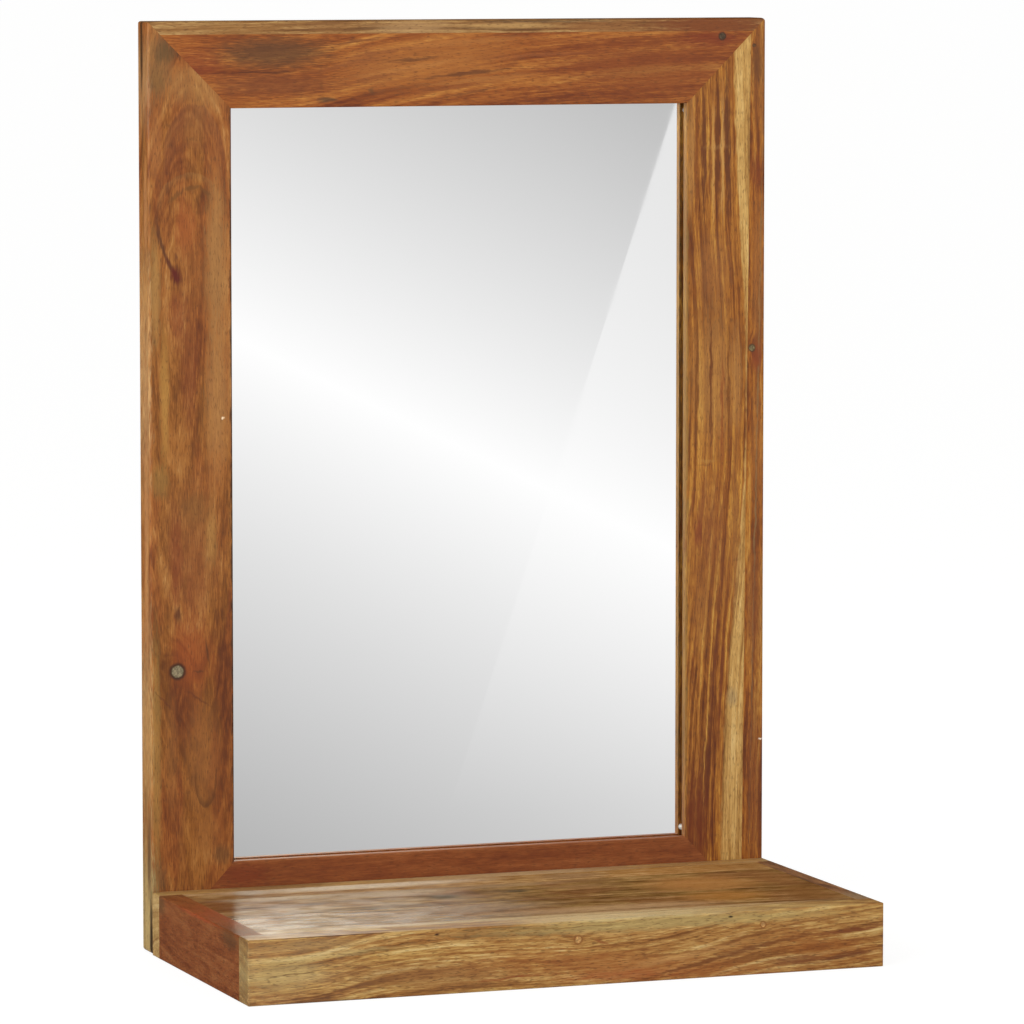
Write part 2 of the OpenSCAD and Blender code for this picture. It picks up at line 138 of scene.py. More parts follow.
def shifted(tree, place, wide, long, amount, seed=0.0):
    """The place, moved about by a noise of that size, by up to about amount millimetres."""
    noise = grain_noise(tree, place, wide, long, 2.0, seed).outputs["Color"]
    centred = add(tree, "ShaderNodeVectorMath", {0: noise, 1: (0.5, 0.5, 0.5)}, operation="SUBTRACT")
    return add(tree, "ShaderNodeVectorMath", {0: centred, 1: (3 * amount,) * 3, 2: place},
               operation="MULTIPLY_ADD")


def path_place(tree, place, path):
    """Where a path runs across and into the board, at each place along it."""
    along = add(tree, "ShaderNodeSeparateXYZ", {0: place}).outputs["Z"]
    share = add(tree, "ShaderNodeMath", {0: along, 1: 1 / PITH_REACH}, operation="MULTIPLY")
    curve = add(tree, "ShaderNodeVectorCurve", {"Vector": share})
    curve.mapping.extend = "HORIZONTAL"
    for axis in (0, 1):
        points = curve.mapping.curves[axis].points
        while len(points) < len(path):
            points.new(0.0, 0.0)
        for point, spot in zip(points, path):
            point.location = (spot[0] / PITH_REACH, spot[axis + 1] / PITH_REACH)
    curve.mapping.update()
    return add(tree, "ShaderNodeVectorMath", {0: curve, 1: (PITH_REACH, PITH_REACH, 0)},
               operation="MULTIPLY")


def in_oval(tree, place, across, along, half_width, half_length, lean=0.0):
    """The place as an oval sees it, and how far out it lies: 0 in the middle and 1 on the edge."""
    inside = add(tree, "ShaderNodeMapping", {
        "Vector": place, "Location": (across, 0, along), "Rotation": (0, math.radians(lean), 0),
        "Scale": (half_width, THROUGH, half_length)}, vector_type="TEXTURE")
    return inside, add(tree, "ShaderNodeVectorMath", {0: inside}, operation="LENGTH").outputs["Value"]


def painted(tree, colour, paint, value, start, end, share, share_beyond):
    """Paint over a colour, whose share goes smoothly to another while value goes from start to end."""
    cover = add(tree, "ShaderNodeMapRange", {0: value, 1: start, 2: end, 3: share, 4: share_beyond},
                **SMOOTH)
    return add(tree, "ShaderNodeMix", {"Factor": cover, "A": colour, "B": paint}, data_type="RGBA")


# %% [markdown]
# ## Timber: colour, pores and lacquer
# Acacia is golden brown at the sapwood and red to dark brown in the heart, in bands that differ
# in width, with fine growth lines between them and short dark pores along the grain. Knots push
# the rings apart and leave a dark rim. All of it lies under a clear satin lacquer, which the
# shader has as its coat. The pores of the real wood are a third of a millimetre wide; they are
# drawn about twice as wide, because finer ones would not show in the picture.

# %% Rings, bands and shades
WANDER_SIZE = (48, 240)  # mm across and along the grain, as in every pair of sizes below
RIPPLE_SIZE = (7, 40)
KNOT_SPREAD = (3.2, 6.5)  # in knot radii, how far off the rings feel a knot
KNOT_PUSH = 1.3


def ring_field(tree, place, board):
    """Distance from the pith in millimetres, pushed outwards around the knots."""
    seed = board["seed"]
    wandered = shifted(tree, place, *WANDER_SIZE, board["wander"], seed)
    wandered = shifted(tree, wandered, *RIPPLE_SIZE, board["ripple"], seed + 7)
    away = add(tree, "ShaderNodeVectorMath", {0: wandered, 1: path_place(tree, place, board["pith"])},
               operation="SUBTRACT")
    away = add(tree, "ShaderNodeVectorMath", {0: away, 1: (1, 1, 0)}, operation="MULTIPLY")
    rings = add(tree, "ShaderNodeVectorMath", {0: away}, operation="LENGTH").outputs["Value"]
    for across, along, radius, *_ in board["knots"]:
        _, near = in_oval(tree, place, across, along, KNOT_SPREAD[0] * radius, KNOT_SPREAD[1] * radius)
        push = add(tree, "ShaderNodeMapRange", {0: near, 1: 0.0, 2: 1.0, 3: KNOT_PUSH * radius, 4: 0.0},
                   **SMOOTH)
        rings = add(tree, "ShaderNodeMath", {0: rings, 1: push}, operation="ADD")
    return rings


def banded(tree, rings, place, wide, long, detail, seed):
    """Noise that follows the rings: one band is about wide millimetres, and fades out over long."""
    along = add(tree, "ShaderNodeSeparateXYZ", {0: place}).outputs["Z"]
    across_rings = add(tree, "ShaderNodeMath", {0: rings, 1: 1 / wide}, operation="MULTIPLY")
    along_rings = add(tree, "ShaderNodeMath", {0: along, 1: 1 / long}, operation="MULTIPLY")
    spot = add(tree, "ShaderNodeCombineXYZ", {0: across_rings, 1: seed, 2: along_rings})
    return add(tree, "ShaderNodeTexNoise", {"Vector": spot, "Scale": 1.0, "Detail": detail},
               noise_dimensions="3D")


def shades(tree, value, colours):
    """A ramp through colours at even steps, from value 0 to value 1."""
    ramp = add(tree, "ShaderNodeValToRGB", {0: value})
    elements = ramp.color_ramp.elements
    while len(elements) < len(colours):
        elements.new(0.5)
    for index, (element, colour) in enumerate(zip(elements, colours)):
        element.position = index / (len(colours) - 1)
        element.color = linear(colour)
    return ramp


def summed(tree, start, *noises):
    """start plus each noise, which swings about nothing by half its share to either side."""
    total = start
    for noise, share in noises:
        swing = add(tree, "ShaderNodeMapRange",
                    {0: noise, 1: 0.35, 2: 0.65, 3: -share / 2, 4: share / 2}, clamp=False)
        total = add(tree, "ShaderNodeMath", {0: total, 1: swing}, operation="ADD")
    return total


# %% [markdown]
# ## Timber: what is drawn on a board
# Rings alone never give one certain board, so each board also lists what its maker would point
# out on it, and a few patches of painted light: painted highlights, painted shade and painted
# reflections. Places are in millimetres on the finished object, across the board first and then
# along its grain:
# - sapwood: a line along the board, and the shades of the paler wood beyond it
# - stains_and_painted_light: soft patches, as across, along, half width, half length, lean, colour
#   and strength; most are stained wood, and the painted light among them is marked where it stands
# - edge_stains_and_painted_shade: the same on the board's edge, where the first number is the
#   depth; a few of them are painted shade in gaps and recesses
# - arcs: growth lines that stand out, as the oval of a stain, then 1 for its upper half or -1 for
#   its lower one, how far in the shade reaches, colour and strength
# - knots: across, along, radius, colour of the core and colour of the rim
# - worn: where along the board the lacquer starts to thin out, where it ends, and what is left

# %% Sapwood, stains, arcs, knots and worn lacquer
KNOT_CORE_EDGE = (0.70, 0.98)  # in knot radii, as the next one
KNOT_RIM_EDGE = (1.0, 1.5)
GRIT_SIZE = 1.6
ARC_WAVE_SIZE = (12, 16)
CLOUD_SIZE = (13, 24)


def with_sapwood(tree, colour, tone, rough_place, board):
    """Paler wood beyond a line that runs along the board."""
    edge, sap_shades = board["sapwood"]
    limit = path_place(tree, rough_place, [(along, at, 0) for along, at in edge])
    past = add(tree, "ShaderNodeVectorMath", {0: rough_place, 1: limit}, operation="SUBTRACT")
    past = add(tree, "ShaderNodeSeparateXYZ", {0: past}).outputs["X"]
    return painted(tree, colour, shades(tree, tone, sap_shades), past, -1.0, 1.0, 0.0, 1.0)


def with_stains_and_painted_light(tree, colour, fibre, place, stains_and_painted_light):
    """Soft patches of another colour, whose edges follow the fibres: stained wood, and a few patches of
    painted light.
    """
    for *spot, tint, strength in stains_and_painted_light:
        _, near = in_oval(tree, place, *spot)
        near = summed(tree, near, (fibre, 0.35))
        colour = painted(tree, colour, linear(tint), near, 0.3, 1.2, strength, 0.0)
    return colour


def with_arcs(tree, colour, place, board):
    """Growth lines that stand out: dark on the edge of half an oval, fading towards its middle."""
    wavy_place = shifted(tree, place, *ARC_WAVE_SIZE, 1.8, board["seed"] + 17)
    for *spot, upwards, depth, tint, strength in board["arcs"]:
        inside, near = in_oval(tree, wavy_place, *spot)
        along = add(tree, "ShaderNodeSeparateXYZ", {0: inside}).outputs["Z"]
        share = add(tree, "ShaderNodeMapRange", {0: near, 1: 1 - depth, 2: 1.0, 3: 0.0, 4: strength},
                    **SMOOTH)
        edge = add(tree, "ShaderNodeMapRange", {0: near, 1: 1.0, 2: 1.05, 3: 1.0, 4: 0.0}, **SMOOTH)
        half = add(tree, "ShaderNodeMapRange",
                   {0: along, 1: -0.25 * upwards, 2: 0.35 * upwards, 3: 0.0, 4: 1.0}, **SMOOTH)
        share = add(tree, "ShaderNodeMath", {0: share, 1: edge}, operation="MULTIPLY")
        share = add(tree, "ShaderNodeMath", {0: share, 1: half}, operation="MULTIPLY")
        colour = add(tree, "ShaderNodeMix", {"Factor": share, "A": colour, "B": linear(tint)},
                     data_type="RGBA")
    return colour


def with_knots(tree, colour, place, board):
    """Knots with a core of their own colour in a dark rim."""
    fine_place = shifted(tree, place, 2.5, 2.5, 0.35, board["seed"] + 13)
    grit = grain_noise(tree, fine_place, GRIT_SIZE, GRIT_SIZE, 3.0, board["seed"])
    speckled = add(tree, "ShaderNodeMapRange", {0: grit, 1: 0.35, 2: 0.65, 3: 0.45, 4: 1.35})
    for across, along, radius, core, rim in board["knots"]:
        _, near = in_oval(tree, fine_place, across, along, radius, radius)
        core_colour = add(tree, "ShaderNodeVectorMath", {0: linear(core)[:3], 1: speckled},
                          operation="SCALE")
        colour = painted(tree, colour, linear(rim), near, *KNOT_RIM_EDGE, 0.85, 0.0)
        colour = painted(tree, colour, core_colour, near, *KNOT_CORE_EDGE, 1.0, 0.0)
    return colour


def worn_coat(tree, place, board):
    """Lacquer that thins out along the board between two places, and is cloudy all over."""
    start, end, share_left = board["worn"]
    along = add(tree, "ShaderNodeSeparateXYZ", {0: place}).outputs["Z"]
    left = add(tree, "ShaderNodeMapRange", {0: along, 1: start, 2: end, 3: 1.0, 4: share_left}, **SMOOTH)
    cloud = grain_noise(tree, place, *CLOUD_SIZE, 4.0, board["seed"] + 19)
    full = add(tree, "ShaderNodeMapRange",
               {0: cloud, 1: 0.36, 2: 0.60, 3: 0.45 * board["coat"], 4: board["coat"]})
    return add(tree, "ShaderNodeMath", {0: left, 1: full}, operation="MULTIPLY")


# %% [markdown]
# ## Timber: the finished material
# A board starts as a plain one and says only where it differs. Its figure picks a shade for each
# point, the drawn marks go over that, and fibres and pores come last, in the colour and as a
# slight relief under the lacquer.

# %% The timber material
FIBRE_SIZE = (0.8, 9)
PORE_SIZE = (0.7, 5)
PORE_COLOUR = "#4c2a10"
LINE_LENGTH = 90
MOTTLE_SIZE = (6, 18)
RAGGED_SIZE = (3.5, 16)
RAGGED = 1.6  # mm by which the edges of stains and sapwood wander
PLAIN_BOARD = {
    "wander": 4.0, "ripple": 0.8,  # how far the rings stray, at large and in small
    "tone": 0.5,  # where the board lies in its shades, from 0 for the first to 1 for the last
    "contrast": 0.5, "band_length": 300,  # of the bands, whose width each board gives
    "lines": 0.3, "line": 1.9,  # contrast and width of the fine growth lines
    "mottle": 0.24, "fibre": 0.2, "pore": 0.45,  # how strongly each of them shows
    "drift_size": (16, 110),  # of the areas that take their shades from drift
    "specular": 0.25, "coat": 0.12, "coat_roughness": 0.22,
    "stains_and_painted_light": (), "edge_stains_and_painted_shade": (), "arcs": (), "knots": (),
}


def wood_colour(tree, place, fibre, board):
    """The figure in its shades, and over it what the board lists."""
    seed = board["seed"]
    rings = ring_field(tree, place, board)
    bands = banded(tree, rings, place, board["band"], board["band_length"], 2.0, seed)
    lines = banded(tree, rings, place, board["line"], LINE_LENGTH, 2.0, seed + 3)
    rough_place = shifted(tree, place, *RAGGED_SIZE, RAGGED, seed + 11)
    mottle = grain_noise(tree, rough_place, *MOTTLE_SIZE, 4.0, seed + 9)
    tone = summed(tree, board["tone"], (bands, board["contrast"]), (lines, board["lines"]),
                  (mottle, board["mottle"]), (fibre, board["fibre"]))
    colour = shades(tree, tone, board["shades"])
    if "drift" in board:
        drift = grain_noise(tree, rough_place, *board["drift_size"], 2.0, seed + 15)
        drift_colour = shades(tree, tone, board["drift"])
        colour = painted(tree, colour, drift_colour, drift, 0.42, 0.60, 0.0, 1.0)
    if "sapwood" in board:
        colour = with_sapwood(tree, colour, tone, rough_place, board)
    colour = with_stains_and_painted_light(tree, colour, fibre, rough_place, board["stains_and_painted_light"])
    if board["edge_stains_and_painted_shade"]:
        across, deep, along = board["axes"]
        edge_place = log_place(tree, deep, across, along)
        colour = with_stains_and_painted_light(tree, colour, fibre, edge_place, board["edge_stains_and_painted_shade"])
    if board["arcs"]:
        colour = with_arcs(tree, colour, place, board)
    if board["knots"]:
        colour = with_knots(tree, colour, place, board)
    return colour


def timber(name, board):
    """A lacquered board: a plain one, changed as its dictionary says."""
    board = {**PLAIN_BOARD, **board}
    material, tree, shader = new_material(name)
    place = log_place(tree, *board["axes"])
    fibre = grain_noise(tree, place, *FIBRE_SIZE, 2.0, board["seed"])
    pores = grain_noise(tree, place, *PORE_SIZE, 1.0, board["seed"] + 5)
    pore = add(tree, "ShaderNodeMapRange", {0: pores, 1: 0.57, 2: 0.66, 3: 0.0, 4: 1.0}, **SMOOTH)
    pore_share = add(tree, "ShaderNodeMath", {0: pore, 1: board["pore"]}, operation="MULTIPLY")
    shade = add(tree, "ShaderNodeMapRange", {0: fibre, 1: 0.3, 2: 0.7, 3: 0.92, 4: 1.07})

    colour = wood_colour(tree, place, fibre, board)
    colour = add(tree, "ShaderNodeMix", {"Factor": pore_share, "A": colour, "B": linear(PORE_COLOUR)},
                 data_type="RGBA")
    colour = add(tree, "ShaderNodeVectorMath", {0: colour, 1: shade}, operation="SCALE")
    relief = add(tree, "ShaderNodeMath", {0: pore, 1: -0.7, 2: fibre}, operation="MULTIPLY_ADD")
    bump = add(tree, "ShaderNodeBump", {"Height": relief, "Strength": 0.35, "Distance": 0.15 * MM})
    rough = add(tree, "ShaderNodeMapRange", {0: fibre, 1: 0.3, 2: 0.7, 3: 0.42, 4: 0.56})

    tree.links.new(colour.outputs[0], shader.inputs["Base Color"])
    tree.links.new(bump.outputs[0], shader.inputs["Normal"])
    tree.links.new(rough.outputs[0], shader.inputs["Roughness"])
    shader.inputs["Specular IOR Level"].default_value = board["specular"]
    shader.inputs["Coat Weight"].default_value = board["coat"]
    shader.inputs["Coat Roughness"].default_value = board["coat_roughness"]
    if "worn" in board:
        tree.links.new(worn_coat(tree, place, board).outputs[0], shader.inputs["Coat Weight"])
    return material


# which of the object's axes run across a board, into it and along its grain
STILE = ("X", "Y", "Z")
RAIL = ("Z", "Y", "X")
PLANK = ("Y", "Z", "X")
SIDE = ("Z", "X", "Y")

# %% [markdown]
# ## Left stile
# One board with the log's pith just under its face near three quarters of its height. Above that
# the rings arch upwards, and below it they close downwards in a long U. The pith shows as a dark
# red knot with a streak running into it, and lower down sits a round grey dead knot.

# %% Left stile
left_stile = {
    "axes": STILE, "seed": 1.0, "band": 9.0, "contrast": 0.45, "tone": 0.44, "lines": 0.3,
    "mottle": 0.3, "fibre": 0.26,
    "pith": [(0, -205, 158), (110, -205, 152), (300, -222, 130), (508, -226, 106), (580, -219, 88),
             (640, -213, 73), (700, -211, 58)],
    "shades": ["#5c2a08", "#7b3f12", "#92531f", "#a2652c", "#b07a42"],
    "drift": ["#623408", "#824b16", "#985e24", "#a87035", "#b5854c"],
    "stains_and_painted_light": [
        (-240, 668, 14, 34, 0, "#8c6638", 0.60),
        (-215, 308, 28, 62, 0, "#7c4a24", 0.40),
        (-233, 677, 12, 9, 0, "#584020", 0.65),
        (-240, 656, 6, 12, 0, "#765428", 0.45),
        (-222, 652, 12, 16, 0, "#946c3c", 0.40),
        (-203, 655, 16, 26, 0, "#a2743f", 0.50),
        (-212, 620, 15, 17, 0, "#7d4c22", 0.40),
        (-242, 608, 6, 30, 0, "#9c6434", 0.45),
        (-219, 545, 11, 24, 0, "#98501f", 0.75),
        (-212, 510, 26, 30, 0, "#86501f", 0.35),
        (-243, 500, 5, 50, 0, "#a67a40", 0.75),
        (-195, 520, 10, 76, 0, "#a97c45", 0.60),
        (-226, 480, 8, 26, 0, "#833f1b", 0.60),
        (-217, 445, 9, 58, 0, "#773915", 0.65),
        (-236, 420, 4.0, 58, 0, "#b0803a", 0.70),
        (-195, 420, 11, 64, 0, "#a87842", 0.60),
        (-240, 357, 9, 15, 0, "#88662f", 0.60),
        (-212, 336, 14, 15, 0, "#7f5223", 0.55),
        (-200, 312, 6, 24, 0, "#a87a3c", 0.50),
        (-228, 300, 6, 42, 0, "#7a3614", 0.60),
        (-212, 290, 12, 40, 0, "#8a4a20", 0.35),
        (-244, 150, 4.5, 110, 0, "#a17a3c", 0.60),
        (-216, 226, 20, 30, 0, "#93471a", 0.60),
        (-208, 150, 16, 50, 0, "#98602e", 0.50),
        (-232, 150, 6, 50, 0, "#8e5a2a", 0.40),
        (-204, 88, 13, 20, 0, "#955c29", 0.50),
        (-226, 90, 5, 40, 0, "#78401c", 0.30),
        (-243, 58, 7, 16, 0, "#6a5030", 0.50),
        (-193, 74, 8, 9, 0, "#57391c", 0.60),
        (-240.5, 543, 1.4, 10, -8, "#4a2410", 0.75),
        (-237, 532, 2.0, 11, -18, "#4a2410", 0.80),
        (-232, 520, 2.5, 10, -26, "#4f1c0c", 0.85),
        (-227, 511, 5.0, 8, -10, "#581507", 1.0),
        (-226, 525, 1.5, 3, 0, "#5a2812", 0.65),
        (-226.5, 570.5, 2.2, 8, 51, "#643f18", 0.58),
        (-214.5, 576.5, 2.0, 8, 82, "#643f18", 0.58),
        (-204, 574, 1.8, 6, -53, "#643f18", 0.55),
        (-201.5, 563.5, 1.8, 8.5, 11, "#643f18", 0.48),
        (-226.5, 257, 3.2, 7, 0, "#51280f", 0.80),
        (-203.5, 228, 1.0, 11, -6, "#4f2d12", 0.75),
        (-210, 213.5, 5, 1.0, 8, "#4f2d12", 0.65),
        (-211, 193, 0.9, 14, -54, "#5f3014", 0.70),
        (-238, 192, 0.9, 12, -46, "#5f3014", 0.60),
        # painted light: these four paint the left flank paler along its length, as the lamps at the left
        # light it; part of it is the flank's own yellower wood
        (-255, 650, 9, 50, 0, "#b88e60", 0.85),
        (-255, 440, 9, 140, 0, "#e0b274", 0.90),
        (-255, 180, 9, 130, 0, "#d6aa6c", 0.90),
        (-252, 20, 9, 80, 0, "#b8a068", 0.90),
        # painted shade: a dark line along the left edge of the opening, on the lip's inner face and the
        # front beside it
        (-183.2, 350, 1.9, 420, 0, "#38200f", 0.90),
        # painted highlight: a small glint near the opening's left edge
        (-190.5, 403.5, 1.1, 1.1, 0, "#ffe2b8", 1.0),
    ],
    "arcs": [
        (-212, 592, 24, 45, 0, 1, 0.50, "#784524", 0.42),
        (-214, 572, 26, 38, 0, 1, 0.20, "#7a421e", 0.28),
        (-216, 562, 25, 25, 0, 1, 0.25, "#a2824a", 0.14),
        (-205, 140, 9, 30, 0, -1, 0.25, "#56300f", 0.65),
    ],
    "knots": [(-227, 214, 5.2, "#8a7d60", "#241409")],
    "edge_stains_and_painted_shade": [
        (114, 310, 6.5, 110, 0, "#c08852", 0.60),
        (112, 560, 5.5, 44, 0, "#b87e4c", 0.60),
        (120, 682, 4.0, 44, 0, "#3a200c", 0.90),
        (112, 74, 5.5, 36, 0, "#66482a", 0.80),
        # painted shade: the front strip of the flank darkened low down, in the joint beside the shelf's
        # back board
        (107.5, 8, 4.2, 48, 0, "#2c1c0c", 0.95),
        (118, 610, 2.0, 50, 0, "#5e3c1e", 0.50),
        (127, 340, 2.4, 60, 0, "#8f6234", 0.35),
        (124, 40, 1.6, 60, 0, "#75603a", 0.70),
    ],
}
dress(timber("lacquered acacia, left stile", left_stile), "left_stile")

# %% [markdown]
# ## Right stile
# This board was cut beside the pith, so its rings are stripes, gold and dark brown by turns, with
# a slight curl near the top. Along its right edge runs a band of pale sapwood, which drifts
# inwards towards the foot.

# %% Right stile
SAP_EDGE = [(0, 214), (100, 214), (200, 219), (300, 228), (370, 232), (460, 232), (560, 226), (700, 221)]
right_stile = {
    "axes": STILE, "seed": 4.0, "band": 4.2, "contrast": 0.62, "wander": 2.0, "ripple": 1.1,
    "band_length": 220, "line": 1.5, "lines": 0.4, "tone": 0.45,
    "pith": [(along, at - 95, 125) for along, at in SAP_EDGE],
    "shades": ["#5c2804", "#7c410a", "#985a19", "#af7225", "#c48d3a"],
    "drift": ["#602c04", "#844a0e", "#a26421", "#b77c2d", "#c89544"],
    "sapwood": (SAP_EDGE, ["#8f642c", "#a97b3c", "#bd904c", "#cda35e", "#d8b472"]),
    "stains_and_painted_light": [
        (187, 600, 3.2, 60, 0, "#b98546", 0.50),
        (191, 590, 1.8, 62, 0, "#7a3f12", 0.80),
        (197, 600, 2.6, 66, 0, "#66330e", 0.95),
        (202.5, 598, 1.6, 66, 0, "#7a3f12", 0.85),
        (205, 590, 1.6, 60, 0, "#c08c48", 0.65),
        (208.5, 600, 2.6, 70, 0, "#66330e", 0.95),
        (212.5, 595, 1.8, 58, 0, "#c4924e", 0.75),
        (216.5, 605, 2.8, 66, -1, "#60300e", 0.95),
        (205, 508, 18, 34, 0, "#9c6634", 0.45),
        (206, 425, 22, 66, 0, "#ab793e", 0.50),
        (183, 350, 2.2, 420, 0, "#8c6a33", 0.75),
        (205, 276, 24, 48, 0, "#82491f", 0.40),
        (224, 300, 4, 80, 0, "#8c5a2c", 0.50),
        (225, 420, 5, 50, 0, "#b07c40", 0.50),
        (192, 430, 1.2, 66, 0, "#75400f", 0.85),
        (203.5, 425, 1.6, 70, 0, "#6a360e", 0.90),
        (213, 395, 1.6, 54, 0, "#8a4518", 0.75),
        (218, 420, 1.4, 66, 0, "#75400f", 0.80),
        (196, 320, 3.0, 36, 8, "#80421a", 0.70),
        (204, 312, 1.6, 40, 8, "#7a3d14", 0.75),
        (213, 320, 1.6, 40, 6, "#7a3d14", 0.70),
        (187, 320, 1.8, 36, 8, "#7a3d14", 0.65),
        (205, 315, 12, 44, 0, "#8f5426", 0.40),
        (193, 305, 4, 12, 0, "#7a3316", 0.65),
        (196, 240, 9, 36, 0, "#97632e", 0.35),
        (208, 215, 2.4, 60, 5, "#683010", 0.70),
        (213, 190, 1.8, 64, 3, "#783a12", 0.60),
        (191, 220, 1.6, 50, 4, "#783a12", 0.45),
        (202, 130, 3.0, 64, 4, "#602c0c", 0.75),
        (196, 110, 1.6, 50, 5, "#602c0c", 0.70),
        (192, 75, 13, 55, 0, "#6b2b0c", 0.75),
        (200, 359.5, 9, 1.6, 0, "#b5833f", 0.45),
        (199, 356.5, 8, 0.9, 0, "#7a4620", 0.45),
        (208, 601, 12, 2.4, 0, "#b98c50", 0.18),
        (222, 175, 5, 9, 0, "#8f7c5a", 0.50),
    ],
    # painted shade: the lip's inner face and the rebate behind the glass painted near black along the
    # whole stile
    "edge_stains_and_painted_shade": [(115.5, 350, 4.5, 700, 0, "#2a1206", 0.90)],
}
dress(timber("lacquered acacia, striped", right_stile), "right_stile")

# %% [markdown]
# ## Right edge strip
# A red-brown strip that was glued on to make up the width. It has thin grey streaks and two
# small knots with red around them.

# %% Right edge strip
right_edge_strip = {
    "axes": STILE, "seed": 8.0, "band": 4.0, "contrast": 0.7, "wander": 2.0, "lines": 0.5, "fibre": 0.3,
    "pith": [(0, 200, 150), (350, 206, 150), (700, 205, 150)],
    "shades": ["#5f2a04", "#80420a", "#9b5a15", "#ad6e22", "#bb8438"],
    "stains_and_painted_light": [
        (243, 660, 9, 60, 0, "#87501f", 0.60),
        (241.5, 350, 0.9, 340, 1, "#806a44", 0.65),
        (242, 500, 6, 80, 0, "#a86d32", 0.45),
        (242, 370, 6, 70, 0, "#a36930", 0.40),
        (241, 245, 9, 60, 0, "#7e461e", 0.65),
        (241, 120, 7, 90, 0, "#7c421a", 0.65),
        (241, 440, 6, 14, 0, "#843a16", 0.70),
        (241, 582, 6, 18, 0, "#73310f", 0.65),
        (241, 664, 5, 18, 0, "#5f3818", 0.60),
        # painted highlight: a small white glint on the strip's right edge
        (245.6, 141.5, 1.7, 0.9, 0, "#fff0da", 1.0),
    ],
    "knots": [(237.5, 446, 2.5, "#7a6c48", "#49361c"), (238.5, 679, 1.3, "#5a3c20", "#4a2a14")],
}
dress(timber("lacquered acacia, red strip", right_edge_strip), "right_edge_strip")

# %% [markdown]
# ## Top rail and its edge strip
# The rail is red-brown. Its rings run level at the left, climb in the middle, where the wood is
# golden, and go on nearly level to the right. The strip on top is a paler board.

# %% Top rail and top edge strip
top_rail = {
    "axes": RAIL, "seed": 12.0, "band": 7.0, "contrast": 0.55, "band_length": 260, "wander": 3.0,
    "pith": [(-248, 400, 60), (-120, 400, 60), (-80, 408, 60), (-20, 420, 60), (60, 432, 60),
             (248, 440, 60)],
    "shades": ["#602504", "#7f3e0e", "#98541b", "#ac6a29", "#bd813a"],
    "tone": 0.46, "mottle": 0.16, "lines": 0.2, "fibre": 0.22,
    "stains_and_painted_light": [
        (676, -150, 15, 54, 0, "#5a381c", 0.85),
        (668, -212, 12, 26, 0, "#7a3210", 0.65),
        (652, -150, 11, 66, 0, "#723a18", 0.70),
        (664, -72, 20, 30, 0, "#8a5026", 0.40),
        (668, -25, 22, 75, 6, "#a8682c", 0.55),
        (662, 150, 26, 95, 0, "#7e3c12", 0.70),
        (684, 205, 8, 34, 0, "#742b0c", 0.75),
        (661.5, -165, 0.9, 40, 0, "#50280f", 0.80),
        (664, -40, 2.6, 50, 9, "#b87838", 0.50),
        (655, 20, 2.6, 50, 5, "#b67636", 0.50),
        (683, 0, 2.6, 70, 4, "#b27234", 0.45),
        (676, -62, 2.0, 40, 8, "#854a20", 0.60),
        (667, -92, 2.4, 34, 12, "#854a20", 0.60),
        (656, -74, 1.8, 40, 11, "#82461c", 0.60),
        (649, -8, 2.2, 46, 6, "#82461c", 0.50),
        (673, 66, 1.6, 52, 2, "#8c4e24", 0.50),
        (670, -40, 1.4, 24, 5, "#5f3416", 0.75),
        (659.5, 5, 1.6, 44, 6, "#5c3014", 0.80),
        (645, 5, 1.4, 26, 10, "#713c18", 0.70),
        (640.5, -107, 2.2, 9, 0, "#4a3420", 0.75),
        (647, -72, 3.0, 3.0, 0, "#50381f", 0.60),
        (684, -85, 1.3, 26, 8, "#6a3a1a", 0.65),
    ],
    "knots": [(686, 212, 2.6, "#4c3d2a", "#2f2012")],
}
top_edge_strip = {
    "axes": RAIL, "seed": 15.0, "band": 3.0, "contrast": 0.75, "wander": 1.5, "band_length": 120,
    "lines": 0.5,
    "pith": [(-248, 560, 110), (0, 564, 110), (248, 560, 110)],
    "shades": ["#5f3b18", "#7a5026", "#8f6434", "#a57c48", "#bc975e"],
    "stains_and_painted_light": [
        (695, -190, 9, 70, 0, "#8c5e2c", 0.65),
        (694, -105, 8, 26, 0, "#8a5c2e", 0.55),
        (694, -40, 8, 38, 0, "#ae8656", 0.70),
        (695, 35, 3.0, 46, 0, "#b28850", 0.70),
        (694, 115, 8, 44, 0, "#8d5a2c", 0.70),
        (694, 205, 12, 66, 0, "#7a4018", 1.0),
        (698.5, 70, 1.6, 60, 0, "#60482c", 0.65),
    ],
}
dress(timber("lacquered acacia, top rail", top_rail), "top_rail")
dress(timber("lacquered acacia, pale strip", top_edge_strip), "top_edge_strip")

# %% [markdown]
# ## Bottom rail
# Plain red-brown heartwood. Only the part above the shelf shows from the front.

# %% Bottom rail
bottom_rail = {
    "axes": RAIL, "seed": 18.0, "band": 12.0, "contrast": 0.35, "band_length": 500, "lines": 0.2,
    "pith": [(-248, -140, 60), (248, -130, 60)],
    "shades": ["#632c0e", "#763914", "#83441a", "#8e4f24", "#9a5d30"],
    "stains_and_painted_light": [(57, -175, 10, 22, 0, "#742f0e", 0.70)],
}
dress(timber("lacquered acacia, bottom rail", bottom_rail), "bottom_rail")

# %% [markdown]
# ## Shelf front board
# Honey-coloured, paler at the top left and redder towards the lower right. Its growth lines climb
# to the right, past a few small pin knots.

